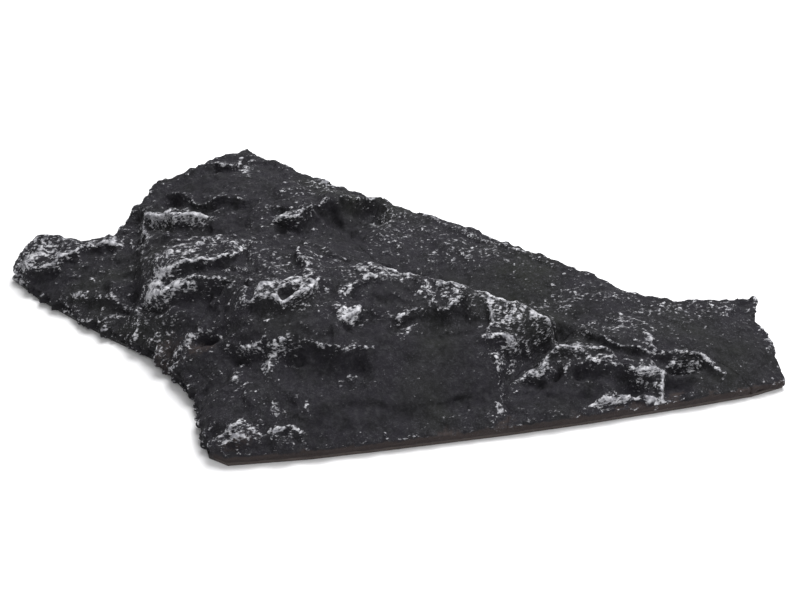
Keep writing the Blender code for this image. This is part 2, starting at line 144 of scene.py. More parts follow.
TOE = [
    (122, -139, 31), (144, -151, 30), (135, -122, 24), (153, -126, 25), (163, -138, 27), (177, -150, 27),
    (202, -157, 24), (224, -163, 21), (240, -174, 15), (256, -180, 9), (150, -164, 24), (177, -170, 24),
    (192, -174, 23), (118, -160, 21), (100, -170, 11), (210, -178, 12), (130, -178, 12), (93, -150, 15),
]
SPOTS = FRONT_SLOPE + RIDGE + CROWN + FAR_SLOPE + BOULDER + WING + SLAB + TOE
ROUNDING = 7  # plan units over which the swell is rounded at each spot
EASING = 1.5  # how loosely the swell follows the spots

# Ledges: crest line with the drop on its right, rise, drop, widths of the rise, the drop and the hollow,
# and how much white the crest wears.
LEDGES = [
    # across the front of the crown, and the ring over it
    ([(-133, -96), (-117, -106), (-101, -114), (-84, -119), (-64, -121), (-52, -129), (-41, -130),
      (-18, -126)],
     3, 10, 18, 3, 26, 1.0),
    ([(-130, -88), (-113, -101), (-98, -106)], 1, 3, 8, 3, 12, 0.3),
    ([(-120, -79), (-106, -82), (-92, -86), (-82, -92), (-68, -89), (-60, -84), (-54, -73), (-50, -58)],
     4, 7, 12, 3, 20, 1.0),
    ([(-102, -79), (-96, -72), (-81, -66), (-65, -62), (-52, -56)], 1, 2, 12, 3, 6, 0.9),
    ([(-127, -50), (-119, -47), (-111, -52)], 1, 3, 6, 2, 8, 0.8),
    # the boulder: its top, its front shelf and its left side
    ([(-178, -21), (-164, -29), (-148, -25), (-132, -25), (-116, -18), (-102, -6)], 2, 8, 12, 3, 18, 0.9),
    ([(-193, -25), (-182, -33), (-170, -43), (-159, -42), (-150, -45), (-134, -48), (-118, -46)],
     3, 10, 14, 3, 12, 1.0),
    ([(-175, -35), (-159, -39), (-142, -44), (-133, -45)], 1, 3, 5, 2, 6, 0.6),
    ([(-184, 112), (-188, 80), (-185, 50), (-190, 20), (-187, -4), (-193, -30)], 2, 10, 14, 9, 22, 0.1),
    ([(-189, 94), (-173, 76), (-163, 66), (-160, 57), (-147, 56), (-128, 65)], 3, 9, 12, 3, 18, 1.0),
    ([(-157, 52), (-147, 48), (-133, 52)], 1, 3, 5, 2, 8, 0.5),
    # the lump below the far edge and its deep side
    ([(-80, 44), (-71, 40), (-58, 37), (-49, 43), (-35, 54), (-25, 60), (-18, 62), (-12, 66), (-6, 72),
      (4, 80), (22, 90)],
     3, 15, 18, 4, 36, 0.7),
    # the far peak
    ([(-128, 165), (-114, 156), (-104, 155), (-97, 163), (-92, 180)], 2, 5, 10, 3, 16, 0.8),
    ([(-168, 124), (-146, 103), (-137, 93), (-124, 88), (-102, 87), (-84, 89)], 2, 8, 22, 4, 28, 0.15),
    # the left wing: its flap and its brink
    ([(-304, 64), (-295, 58), (-285, 51), (-276, 47), (-261, 46), (-256, 54), (-244, 58), (-232, 65),
      (-204, 63)],
     3, 8, 14, 3, 18, 0.9),
    ([(-264, 11), (-251, 13), (-238, 6), (-217, -5), (-193, -22)], 2, 5, 8, 3, 12, 0.6),
    ([(-161, -86), (-154, -83), (-146, -79), (-140, -80), (-135, -84), (-126, -92)], 2, 5, 8, 3, 10, 1.0),
    ([(-190, -56), (-180, -72), (-166, -83), (-150, -87)], 1, 4, 8, 3, 8, 0.4),
    # the ridge: its far side, its left end and its two brinks
    ([(131, -116), (118, -113), (107, -107), (97, -101), (71, -89), (50, -79), (37, -71), (14, -58),
      (-4, -50)],
     2, 5, 10, 5, 14, 0.5),
    ([(-45, -109), (-33, -106), (-26, -100), (-22, -91)], 3, 9, 12, 3, 24, 1.0),
    ([(-37, -84), (-27, -75), (-12, -69), (-4, -64)], 2, 5, 8, 3, 12, 0.9),
    ([(-7, -99), (5, -105), (13, -102), (22, -101), (34, -95)], 2, 6, 10, 3, 20, 0.7),
    ([(33, -90), (36, -100), (43, -102), (50, -98), (61, -92)], 3, 9, 10, 4, 24, 0.7),
    # the ridge's right end: the facet, the brink over the crack and the edge below it
    ([(60, -126), (67, -128), (78, -127), (85, -132), (93, -132), (99, -127)], 3, 7, 16, 3, 14, 1.0),
    ([(88, -132), (98, -128), (102, -131), (109, -125), (116, -121), (124, -118), (131, -108), (131, -96)],
     2, 17, 10, 3, 18, 1.0),
    ([(76, -95), (76, -107), (74, -116), (67, -127)], 2, 4, 10, 3, 14, 0.9),
    ([(67, -130), (72, -139), (73, -152), (71, -172)], 2, 3, 8, 3, 12, 0.7),
    ([(-56, -158), (-21, -162), (-5, -167), (12, -166), (40, -162), (69, -158)],
     0.5, 2.4, 10, 2.5, 14, 0.0),
    # the low outcrop: its near crests, the edge under them and its rear crest
    ([(90, -150), (105, -149), (116, -141), (128, -141), (134, -147), (146, -148)], 3, 5, 8, 4, 14, 0.2),
    ([(80, -155), (93, -151), (104, -152), (114, -154)], 1, 5, 6, 3, 14, 0.5),
    ([(118, -163), (128, -155), (139, -154), (149, -160), (164, -163), (177, -170), (197, -170)],
     3, 8, 8, 4, 16, 0.45),
    ([(190, -190), (193, -181), (195, -174), (199, -168)], 4, 9, 8, 3, 14, 1.0),
    ([(131, -186), (141, -186), (152, -186), (163, -185), (172, -183), (180, -188), (190, -191)],
     3.5, 4, 7, 2.5, 6, 1.0),
    ([(141, -147), (152, -146), (164, -149)], 1.5, 4, 5, 2.5, 8, 0.9),
    ([(143, -110), (153, -123), (161, -136), (170, -146), (181, -149), (191, -154), (228, -158),
      (234, -167), (246, -177)],
     3, 5, 8, 3, 14, 0.6),
    ([(197, -163), (214, -160), (232, -163)], 1, 10, 6, 2.5, 10, 0.4),
    ([(196, -132), (197, -145), (194, -158)], 1.5, 1.5, 4, 3, 6, 0.9),
    # the step along the slab's far edge
    ([(46, 78), (56, 67), (68, 52), (86, 31), (108, 14), (140, -14), (172, -42)], 0.5, 2.2, 10, 2, 14, 0.5),
    # the bumps at the front left
    ([(-146, -172), (-138, -170), (-128, -168), (-118, -170), (-108, -178)], 2, 3, 8, 4, 5, 0.8),
    ([(-142, -176), (-130, -175), (-120, -177), (-108, -180)], 2, 4, 6, 3, 6, 0.8),
    ([(-104, -180), (-97, -174), (-89, -173), (-82, -177), (-80, -185)], 2, 4, 8, 4, 8, 0.9),
]
LEDGE_TAPER = 14  # plan units over which a ledge fades at each end

# How far lines are bent sideways, and the size of their bends, in plan units.
BROAD_BEND = 2.2
BROAD_BEND_SIZE = 18
FINE_BEND = 1.2
FINE_BEND_SIZE = 6

# Torn outer sides, in millimetres: everywhere, more at the left and at the right, with the left side
# standing out and cut back again in a band just over the seat.
TORN = 1.5
TORN_LEFT = 4.1
TORN_RIGHT = 2.0
LEFT_BULGE = 1.3
LEFT_CUT = 2.4
CUT_HEIGHT = 4.5
CUT_WIDTH = 1.8

# Masks for the paint.
NEAR_PASSES = 5  # smoothing passes that leave out the finest bumps
BROAD_PASSES = 40  # passes more that leave out the broad ones
WHITE_BEHIND = 2.4  # how far the white reaches back from a crest, in plan units
WHITE_BELOW = 1.2  # how far it reaches down the drop
RAW_HEIGHT = 11 * MM  # height of the raw band along the front
RAW_DEPTH = 14  # its depth, in plan units

# Humps and pits: x, y, half width, half depth, height.
HUMPS = [
    (-79, -81, 8, 5.5, -11), (116, -157, 4, 3.5, -10), (-140, -92, 9, 6, 2), (-143, -75, 10, 7, 6),
    (-92, 169, 9, 9, 2), (208, -178, 10, 7, -9), (170, -177, 10, 6, -6),
    (-10, 38, 20, 26, -5), (-126, -174, 17, 5, 5), (-92, -178, 11, 5, 4), (-105, -182, 4, 5, -4),
    (251, -178, 11, 7, 5), (-95, -128, 7, 13, 3), (-225, 20, 22, 16, -3), (45, -116, 22, 12, -3),
    (-108, 62, 22, 14, -3), (-138, 38, 22, 9, -3),
]

# Creases: line, depth, width.
CREASES = [
    ([(-117, 64), (-101, 48), (-93, 31), (-89, 11), (-84, -8)], 3.5, 5),
    ([(-246, 17), (-225, 9), (-204, -2)], 1.5, 3),
    ([(-198, 40), (-196, 0), (-199, -22)], 2.5, 6),
    ([(-120, -60), (-104, -38), (-92, -12)], 2.5, 8),
    ([(-60, -150), (-52, -148), (-44, -150)], 1.2, 2.5),
    ([(130, -152), (146, -158), (160, -166), (176, -176)], 3, 5),
]

# Calm stretches, with less broken rock: x, y, half width, half depth, how much.
CALM = [
    (10, -148, 105, 30, 0.75), (55, 30, 60, 60, 0.7), (150, -50, 85, 45, 0.7), (255, -130, 60, 50, 0.7),
    (-88, 125, 50, 28, 0.5), (-85, -100, 70, 12, 0.4), (-270, 35, 40, 25, 0.4),
]

# Where the white brush dabbed: x, y, half width, half depth, how much.
DABS = [
    (-275, 65, 28, 16, 1.1), (-240, 72, 16, 7, 0.8), (-215, 68, 12, 7, 0.9),
    (-168, 84, 26, 16, 1.15), (-143, 64, 18, 9, 1.2), (-186, 60, 7, 50, 0.7),
    (-140, 4, 46, 15, 0.7), (-160, -8, 30, 18, 0.85), (-176, -28, 14, 13, 1.3), (-164, -36, 14, 8, 1.1),
    (-112, -8, 14, 10, 0.6),
    (-66, -34, 36, 20, 0.6), (-88, -72, 26, 9, 0.9), (-62, -72, 16, 14, 1.0), (-78, -93, 26, 6, 0.6),
    (-66, 50, 18, 14, 0.7), (-18, 118, 46, 12, 0.75), (-92, 148, 7, 18, 0.9), (-40, 92, 24, 8, 0.5),
    (20, 62, 18, 26, 0.75), (16, 28, 20, 20, 0.5), (45, 40, 40, 30, 0.3), (87, 24, 60, 16, 0.3),
    (85, 2, 40, 18, 0.5), (145, -72, 40, 18, 0.5), (181, -112, 34, 14, 0.65), (230, -98, 40, 10, 0.6),
    (262, -108, 34, 9, 0.5), (297, -140, 8, 22, 0.5), (190, -80, 26, 10, 0.5),
    (8, -62, 34, 9, 0.85), (-14, -52, 16, 12, 0.8), (36, -82, 20, 8, 0.8), (48, -88, 14, 10, 0.8),
    (90, -98, 34, 8, 0.8),
    (88, -114, 16, 12, 1.0), (110, -112, 16, 8, 1.0), (82, -136, 14, 16, 0.8), (5, -110, 12, 8, 0.8),
    (3, -118, 6, 6, 0.7),
    (-34, -101, 12, 9, 1.15), (-30, -80, 8, 8, 0.6),
    (-228, 24, 12, 6, 0.7), (-215, -15, 16, 9, 0.5), (-196, -40, 12, 14, 0.5), (-176, -62, 20, 9, 0.6),
    (-165, -84, 14, 8, 0.7), (-196, 22, 6, 12, 0.5), (-250, 8, 14, 5, 0.6),
    (-94, -120, 8, 4, 1.1), (-100, -126, 4, 10, 1.15), (-80, -124, 5, 4, 0.9), (-123, -128, 4, 7, 1.05),
    (-119, -138, 3, 5, 0.8),
    (-112, -112, 10, 5, 0.6), (-98, -158, 4, 6, 1.05), (-74, -160, 3, 7, 1.05), (-44, -141, 8, 6, 0.6),
    (-126, -172, 20, 6, 0.8), (-92, -177, 11, 5, 0.8),
    (104, -147, 18, 7, 1.0), (130, -141, 18, 9, 0.95), (152, -154, 16, 6, 0.75), (182, -172, 15, 8, 1.0),
    (120, -128, 9, 5, 0.9),
    (152, -185, 14, 3, 0.9), (186, -187, 9, 3, 0.9), (222, -163, 18, 5, 1.1), (195, -145, 5, 12, 0.9),
    (194, -182, 3, 9, 1.0),
    (68, -176, 4, 12, 1.0), (128, -168, 5, 3, 0.7), (205, -184, 4, 2, 0.7),
]

# Where the coat is thin and brown shows: x, y, half width, half depth, how much.
THIN_COAT = [
    (-172, -74, 24, 12, 0.42), (-140, -92, 12, 6, 0.3), (-152, -90, 14, 8, 0.35), (-262, 4, 10, 6, 0.55),
    (-130, -177, 22, 5, 0.45), (207, -182, 12, 5, 0.6),
]

# Smooth stretches that the brush passed over: x, y, half width, half depth, how much.
SMOOTH = [
    (135, -174, 26, 6, 1.0), (106, -163, 18, 7, 0.9), (168, -178, 9, 5, 0.8), (-8, 42, 22, 30, 0.9),
    (44, -36, 40, 12, 0.9), (96, -60, 34, 12, 0.8), (160, -90, 30, 14, 0.5), (0, -164, 80, 11, 0.9),
    (-85, -104, 28, 8, 0.8), (-2, -82, 16, 9, 1.0), (-22, -116, 26, 8, 0.9), (-55, 122, 30, 14, 0.6),
    (-128, 122, 28, 16, 0.7), (-110, 50, 20, 22, 0.8), (-150, -56, 26, 4, 0.6),
    (-283, 34, 16, 14, 1.0), (-225, 22, 26, 10, 0.6), (-150, 42, 20, 8, 0.7), (30, -128, 46, 18, 0.7),
    (-70, -133, 34, 8, 0.9), (-40, -168, 40, 14, 0.7), (212, -172, 14, 7, 1.0), (-78, -81, 7, 5, 1.0),
    (255, -155, 34, 14, 0.6), (50, -150, 14, 24, 0.4), (-63, -26, 6, 9, 1.0), (209, -178, 9, 6, 1.0),
]


def ease(share):
    share = np.clip(share, 0, 1)
    return share * share * (3 - 2 * share)


def along(line, x, y):
    """Distance from a line of points, signed to be positive on its right, and how far along it that is."""
    line = np.array(line, float)
    runs = np.diff(line, axis=0)
    lengths = np.hypot(runs[:, 0], runs[:, 1])
    before = np.concatenate([[0], np.cumsum(lengths)])
    nearest = np.full(np.shape(x), np.inf)
    side = np.zeros(np.shape(x))
    travelled = np.zeros(np.shape(x))
    for start, run, length, done in zip(line, runs / lengths[:, None], lengths, before):
        dx, dy = x - start[0], y - start[1]
        step = np.clip(dx * run[0] + dy * run[1], 0, length)
        distance = np.hypot(dx - step * run[0], dy - step * run[1])
        closer = distance < nearest
        nearest = np.where(closer, distance, nearest)
        side = np.where(closer, np.where(dx * run[1] - dy * run[0] > 0, 1, -1), side)
        travelled = np.where(closer, done + step, travelled)
    return side * nearest, travelled, before[-1]


def ledge(crest, rise, drop, behind, steep, hollow, x, y):
    distance, travelled, length = along(crest, x, y)
    fade = ease(np.minimum(travelled, length - travelled) / min(LEDGE_TAPER, length / 3))
    rising = rise * np.clip(1 + distance / behind, 0, 1) ** 1.6
    fallen = 1 - np.clip(1 - distance / steep, 0, 1) ** 2
    falling = rise - (rise + drop) * fallen + drop * ease((distance - steep) / hollow)
    return fade * np.where(distance < 0, rising, falling)


def divided(loop, spacing):
    """The corners of a closed loop, with equal steps between them."""
    loop = np.array(loop, float)
    points = []
    for start, end in zip(loop, np.roll(loop, -1, axis=0)):
        steps = max(1, round(np.hypot(*(end - start)[:2]) / spacing))
        points += [start + (end - start) * i / steps for i in range(steps)]
    return np.array(points)


def inside(x, y, loop):
    loop = np.array([corner[:2] for corner in loop], float)
    odd = np.zeros(np.shape(x), bool)
    for (x0, y0), (x1, y1) in zip(loop, np.roll(loop, -1, axis=0)):
        if y0 != y1:
            odd ^= ((y0 > y) != (y1 > y)) & (x < x0 + (x1 - x0) * (y - y0) / (y1 - y0))
    return odd


def noisy(points, size, octaves=3, seed=0.0, kind="fractal"):
    """A noise value at each row of points, its features about size across."""
    scaled = np.asarray(points, float) / size + seed
    if kind == "ridged":
        ridged = noise.ridged_multi_fractal
        return np.array([ridged(Vector(p), 0.9, 2.1, octaves, 1.0, 2.0) for p in scaled])
    return np.array([noise.fractal(Vector(p), 0.9, 2.0, octaves) for p in scaled])


def spot_surface(x, y):
    """The smooth swell through the spot heights."""
    spots = np.vstack([divided(OUTLINE, OUTLINE_STEP), SPOTS])
    count = len(spots)
    apart = spots[:, None, :2] - spots[None, :, :2]
    system = np.zeros((count + 3, count + 3))
    system[:count, :count] = np.sqrt((apart**2).sum(axis=2) + ROUNDING**2) - EASING * np.eye(count)
    system[:count, count] = system[count, :count] = 1
    system[:count, count + 1:] = spots[:, :2]
    system[count + 1:, :count] = spots[:, :2].T
    weights = np.linalg.solve(system, np.append(spots[:, 2], [0, 0, 0]))
    swell = weights[-3] + weights[-2] * x + weights[-1] * y
    for (spot_x, spot_y, _), weight in zip(spots, weights):
        swell = swell + weight * np.sqrt((x - spot_x) ** 2 + (y - spot_y) ** 2 + ROUNDING**2)
    return swell


def rolled(column, row, seed):
    """An even random number for each cell of a grid."""
    return np.abs(np.sin(column * 12.99 + row * 78.23 + seed) * 43758.5) % 1


def chips(x, y, size, lean, seed):
    """Flat facets about size across, each leaning its own way, with worn edges."""
    column, row = np.floor(x / size), np.floor(y / size)
    shares = np.zeros(x.shape)
    height = np.zeros(x.shape)
    for i in (-1, 0, 1):
        for j in (-1, 0, 1):
            a, b = column + i, row + j
            dx = x - (a + rolled(a, b, seed)) * size
            dy = y - (b + rolled(a, b, seed + 7)) * size
            share = np.exp(-14 * (dx**2 + dy**2) / size**2)
            leaned = lean * ((rolled(a, b, seed + 13) - 0.5) * dx + (rolled(a, b, seed + 29) - 0.5) * dy)
            height = height + share * leaned
            shares = shares + share
    return height / shares


def strata(x, y, spacing, height, warp):
    """Steps that face the front, each one's top leaning back."""
    phase = (0.19 * x + 0.98 * y) / spacing + warp
    share = phase - np.floor(phase)
    riser = 0.12
    return height * np.where(share < riser, share / riser, (1 - share) / (1 - riser))


def heaped(heaps, x, y):
    """The sum of round heaps: middle, half widths and height."""
    total = np.zeros(np.shape(x))
    for middle_x, middle_y, half_x, half_y, height in heaps:
        total = total + height * np.exp(-(((x - middle_x) / half_x) ** 2) - ((y - middle_y) / half_y) ** 2)
    return total


def rock_height(x, y):
    """The height of the rock above its seat."""
    flat = np.column_stack([x.ravel(), y.ravel(), 0 * x.ravel()])
    broad_x, broad_y = (BROAD_BEND * noisy(flat, BROAD_BEND_SIZE, 2, seed) for seed in (5.0, 15.0))
    fine_x, fine_y = (FINE_BEND * noisy(flat, FINE_BEND_SIZE, 2, seed) for seed in (9.0, 19.0))
    bent_x = x + broad_x + fine_x
    bent_y = y + broad_y + fine_y
    swell = spot_surface(x, y) + heaped(HUMPS, bent_x, bent_y)
    vary = 1 + 0.5 * noisy(flat, 13, 2, 61.0)
    for crest, *sizes, _ in LEDGES:
        swell = swell + vary * ledge(crest, *sizes, bent_x, bent_y)
    for line, depth, width in CREASES:
        distance, travelled, length = along(line, bent_x, bent_y)
        fade = ease(np.minimum(travelled, length - travelled) / 10 + 0.2)
        swell = swell - depth * fade * np.exp(-abs(distance) / width)
    rugged = 1 - np.clip(heaped(CALM, x, y), 0, 0.75)
    broken = chips(bent_x, bent_y, 27, 0.5, 1.0) + chips(bent_y, bent_x, 12, 0.6, 2.0)
    patches = np.clip(0.5 + 1.2 * noisy(flat, 48, 1, 71.0), 0, 1)
    broken = broken + patches * strata(x, y, 21, 3.0, 0.9 * noisy(flat, 30, 2, 81.0))
    broken = broken + 2.4 * noisy(flat, 32, 2) - 1.4 * noisy(flat, 17, 3, 24.0, "ridged") + 1.4
    swell = swell + rugged * broken + 0.8 * noisy(flat, 12, 3, 3.0)
    distance, travelled, length = along(CRACK_LINE, bent_x, bent_y)
    floor = np.interp(travelled, (0, length), CRACK_FLOORS)
    width = np.interp(travelled / length, CRACK_STAGES, CRACK_WIDTHS)
    opened = np.exp(-((distance / width) ** 2))
    swell = swell - opened * np.maximum(swell - floor, 0)
    return np.maximum(swell, LEAST_HEIGHT)


def nearest_on(loop, points):
    """The nearest place on a closed loop to each point."""
    loop = np.array([corner[:2] for corner in loop], float)
    best = np.full(len(points), np.inf)
    place = np.zeros((len(points), 2))
    for start, end in zip(loop, np.roll(loop, -1, axis=0)):
        run = end - start
        share = np.clip(((points - start) @ run) / (run @ run), 0, 1)
        spot = start + share[:, None] * run
        distance = ((points - spot) ** 2).sum(axis=1)
        closer = distance < best
        best = np.where(closer, distance, best)
        place = np.where(closer[:, None], spot, place)
    return place, np.sqrt(best)


def new_object(name, points, faces):
    mesh = bpy.data.meshes.new(name)
    mesh.from_pydata(points, [], faces)
    mesh.validate()
    made = bpy.data.objects.new(name, mesh)
    bpy.context.scene.collection.objects.link(made)
    return made


def inset(loop, distance):
    """An anticlockwise loop moved inwards, each side parallel to itself."""
    loop = np.array([corner[:2] for corner in loop], float)
    ahead = np.roll(loop, -1, axis=0) - loop
    across = np.stack([-ahead[:, 1], ahead[:, 0]], axis=1) / np.hypot(*ahead.T)[:, None]
    before = np.roll(across, 1, axis=0)
    return loop + distance * (across + before) / (1 + (across * before).sum(axis=1))[:, None]


def block_of_rock(name, plan):
    """One mass as a closed block, reaching below the seat."""
    plan = inset(plan, -LAP)
    low, high = plan.min(axis=0), plan.max(axis=0)
    columns = np.arange(low[0] - GRID, high[0] + 2 * GRID, GRID)
    rows = np.arange(low[1] - GRID, high[1] + 2 * GRID, GRID)
    x, y = np.meshgrid(columns, rows)
    within = inside(x, y, plan)
    corners = np.arange(x.size).reshape(x.shape)
    cells = np.stack([corners[:-1, :-1], corners[:-1, 1:], corners[1:, 1:], corners[1:, :-1]], axis=-1)
    cells = cells.reshape(-1, 4)
    cells = cells[within.ravel()[cells].sum(axis=1) > 1]
    flat = np.column_stack([x.ravel(), y.ravel()])
    outside = np.setdiff1d(np.unique(cells), np.flatnonzero(within.ravel()))
    flat[outside] = nearest_on(plan, flat[outside])[0]
    kept = np.unique(cells)
    number = np.full(len(flat), -1)
    number[kept] = np.arange(len(kept))
    cells, flat = number[cells], flat[kept]
    height = rock_height(flat[:, 0], flat[:, 1])
    scaled = flat * (SCALE_X, SCALE_Y)
    top = np.column_stack([scaled, SEAT + height * SCALE_Z])
    bottom = np.column_stack([scaled, np.full(len(flat), SEAT - BELOW_SEAT)])
    count = len(flat)
    ends = np.concatenate([cells[:, [i, (i + 1) % 4]] for i in range(4)])
    keys = {tuple(pair) for pair in ends.tolist()}
    rim = [(a, b) for a, b in keys if (b, a) not in keys]
    faces = cells.tolist() + (cells[:, ::-1] + count).tolist()
    faces += [(b, a, a + count, b + count) for a, b in rim]
    return new_object(name, np.vstack([top, bottom]).tolist(), faces)


def remeshed(block):
    """The block's surface again, in even small faces."""
    remesh = block.modifiers.new("Remesh", "REMESH")
    remesh.mode = "VOXEL"
    remesh.voxel_size = VOXEL
    graph = bpy.context.evaluated_depsgraph_get()
    mesh = bpy.data.meshes.new_from_object(block.evaluated_get(graph))
    bpy.data.objects.remove(block)
    return mesh


def coordinates(mesh):
    points = np.empty(len(mesh.vertices) * 3, np.float32)
    mesh.vertices.foreach_get("co", points)
    return points.reshape(-1, 3).astype(float)


def normals(mesh):
    found = np.empty(len(mesh.vertices) * 3, np.float32)
    mesh.vertices.foreach_get("normal", found)
    return found.reshape(-1, 3).astype(float)


def joint_distance(points):
    """How far each point lies from the nearest joint, in plan units."""
    x, y = points[:, 0] / SCALE_X, points[:, 1] / SCALE_Y
    return np.min([abs(along(line, x, y)[0]) for line in JOINTS], axis=0)


def nearness(line, x, y, reach):
    """One on a line, easing to nothing at reach from it."""
    return 1 - ease(abs(along(line, x, y)[0]) / reach)


def roughen(mesh):
    """Tears the sides, then moves the surface along its normals; at a joint only up or down."""
    points, outward = coordinates(mesh), normals(mesh)
    x, y = points[:, 0] / SCALE_X, points[:, 1] / SCALE_Y
    outward[:, :2] *= ease(joint_distance(points) / 4)[:, None]
    drawn = points / MM * (1, 1, 1.6)
    sides = nearness(OUTER_SIDES, x, y, SIDE_REACH)
    level = points[:, 2] / MM * 0.35
    height = (points[:, 2] - SEAT) / MM
    left = nearness(WING_TIP[1:] + LEFT_SIDE, x, y, SIDE_REACH)
    right = nearness(RIGHT_END[1:4], x, y, SIDE_REACH)
    strength = TORN + TORN_LEFT * left + TORN_RIGHT * right
    torn = strength * noisy(np.column_stack([x, y, level]), 9, 4, 57.0) + LEFT_BULGE * left
    torn = torn - LEFT_CUT * left * np.exp(-(((height - CUT_HEIGHT) / CUT_WIDTH) ** 2))
    points[:, :2] += outward[:, :2] * (sides * torn * MM)[:, None]
    broad_grain = 0.5 * noisy(drawn, 9, 3, 31.0)
    fine_grain = 0.34 * noisy(drawn, 3.4, 2, 47.0)
    points += outward * ((broad_grain + fine_grain) * MM)[:, None]
    mesh.vertices.foreach_set("co", points.astype(np.float32).ravel())
    mesh.update()


def smoothed(values, edges, count, times):
    """Each value blended with its neighbours', a number of times."""
    shared = np.bincount(edges.ravel(), minlength=count).astype(float)
    for _ in range(times):
        total = np.stack(
            [
                np.bincount(edges[:, 0], values[edges[:, 1], axis], count)
                + np.bincount(edges[:, 1], values[edges[:, 0], axis], count)
                for axis in range(values.shape[1])
            ],
            axis=1,
        )
        values = 0.5 * values + 0.5 * total / shared[:, None]
    return values


def set_attribute(mesh, name, values):
    attribute = mesh.attributes.new(name, "FLOAT", "POINT")
    attribute.data.foreach_set("value", np.asarray(values, np.float32))


def paint_masks(mesh):
    """Where the surface stands proud, and where it was brushed and dabbed with white."""
    points, outward = coordinates(mesh), normals(mesh)
    edges = np.empty(len(mesh.edges) * 2, np.int32)
    mesh.edges.foreach_get("vertices", edges)
    edges = edges.reshape(-1, 2)
    near = smoothed(points, edges, len(points), NEAR_PASSES)
    broad = smoothed(near, edges, len(points), BROAD_PASSES)
    off_joint = ease(joint_distance(points) / 5)
    set_attribute(mesh, "proud_fine", off_joint * ((points - near) * outward).sum(axis=1) / MM)
    set_attribute(mesh, "proud_broad", off_joint * ((points - broad) * outward).sum(axis=1) / MM)
    x, y = points[:, 0] / SCALE_X, points[:, 1] / SCALE_Y
    brushed = np.zeros(len(points))
    for crest, *_, white in LEDGES:
        distance, travelled, length = along(crest, x, y)
        fade = ease(np.minimum(travelled, length - travelled) / 8 + 0.25)
        behind = np.exp(distance / WHITE_BEHIND)
        below = np.exp(-distance / WHITE_BELOW)
        near_crest = np.where(distance < 0, behind, below)
        brushed = np.maximum(brushed, white * fade * near_crest)
    set_attribute(mesh, "brushed", brushed)
    dabbed = np.zeros(len(points))
    for dab in DABS:
        dabbed = np.maximum(dabbed, heaped([dab], x, y))
    set_attribute(mesh, "dabbed", dabbed * off_joint)
    set_attribute(mesh, "smooth", np.clip(heaped(SMOOTH, x, y), 0, 1))
    set_attribute(mesh, "facing_up", outward[:, 2])
    front = np.array([FRONT_LEFT[1], FRONT_TOE], float)[:, :2]
    from_front = y - np.interp(x, front[:, 0], front[:, 1])
    low = 1 - ease((points[:, 2] - SEAT) / RAW_HEIGHT)
    band = low * (1 - ease(from_front / RAW_DEPTH))
    set_attribute(mesh, "raw", np.maximum(band, heaped(THIN_COAT, x, y)))


def hollow_under(mass):
    """The faces of a CAD skin that line its hollow, as points and faces."""
    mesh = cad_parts[f"{mass}_skin"].data
    work = bmesh.new()
    work.from_mesh(mesh)
    bmesh.ops.remove_doubles(work, verts=work.verts, dist=1e-6)
    seat_faces = [f for f in work.faces if all(v.co.z < SEAT + 1e-5 for v in f.verts)]
    bmesh.ops.delete(work, geom=seat_faces, context="FACES")
    highest = max(work.verts, key=lambda v: v.co.z)
    outer = {highest}
    pending = [highest]
    while pending:
        for edge in pending.pop().link_edges:
            for vertex in edge.verts:
                if vertex not in outer:
                    outer.add(vertex)
                    pending.append(vertex)
    bmesh.ops.delete(work, geom=list(outer), context="VERTS")
    return work


def loops_of(work):
    """The open edges of a bmesh, as loops of vertices."""
    open_edges = {e for e in work.edges if len(e.link_faces) == 1}
    loops = []
    while open_edges:
        edge = open_edges.pop()
        loop = [edge.verts[0], edge.verts[1]]
        while loop[-1] is not loop[0]:
            onward = [e for e in loop[-1].link_edges if e in open_edges]
            edge = onward[0]
            open_edges.remove(edge)
            loop.append(edge.other_vert(loop[-1]))
        loops.append(loop[:-1])
    return sorted(loops, key=len)


def close_underside(work, hollow):
    """Joins the outer surface to the hollow with a flat rim at the seat."""
    rims = [max(loops_of(work), key=len)]
    number = {}
    for vertex in hollow.verts:
        number[vertex] = work.verts.new(vertex.co)
    for face in hollow.faces:
        work.faces.new([number[v] for v in face.verts])
    rims.append([number[v] for v in max(loops_of(hollow), key=len)])
    points = rims[0] + rims[1]
    edges = []
    for start, rim in ((0, rims[0]), (len(rims[0]), rims[1])):
        edges += [(start + i, start + (i + 1) % len(rim)) for i in range(len(rim))]
    found = delaunay_2d_cdt([p.co.xy for p in points], edges, [list(range(len(rims[0])))], 1, 1e-7)
    inner = [(p.co.x, p.co.y) for p in rims[1]]
    for face in found[2]:
        corners = [points[found[3][corner][0]] for corner in face]
        middle = sum((c.co for c in corners), Vector()) / 3
        if not inside(np.array([middle.x]), np.array([middle.y]), inner)[0]:
            work.faces.new(corners[::-1])


def lay_out(mesh):
    """A flat layout of the faces: those that look up in one square, those that look down in the next."""
    layer = mesh.uv_layers.new(name="OFBake")
    points = coordinates(mesh)[:, :2]
    low = points.min(axis=0)
    span = (points.max(axis=0) - low).max()
    square = 0.48
    margin = 0.01
    flat = (points - low) / span * square + margin
    down = np.array([face.normal.z < 0 for face in mesh.polygons])
    lengths = np.array([face.loop_total for face in mesh.polygons])
    corners = np.empty(len(mesh.loops), np.int32)
    mesh.loops.foreach_get("vertex_index", corners)
    places = flat[corners]
    places[:, 1] += np.where(np.repeat(down, lengths), 0.5, 0.0)
    layer.data.foreach_set("uv", places.astype(np.float32).ravel())


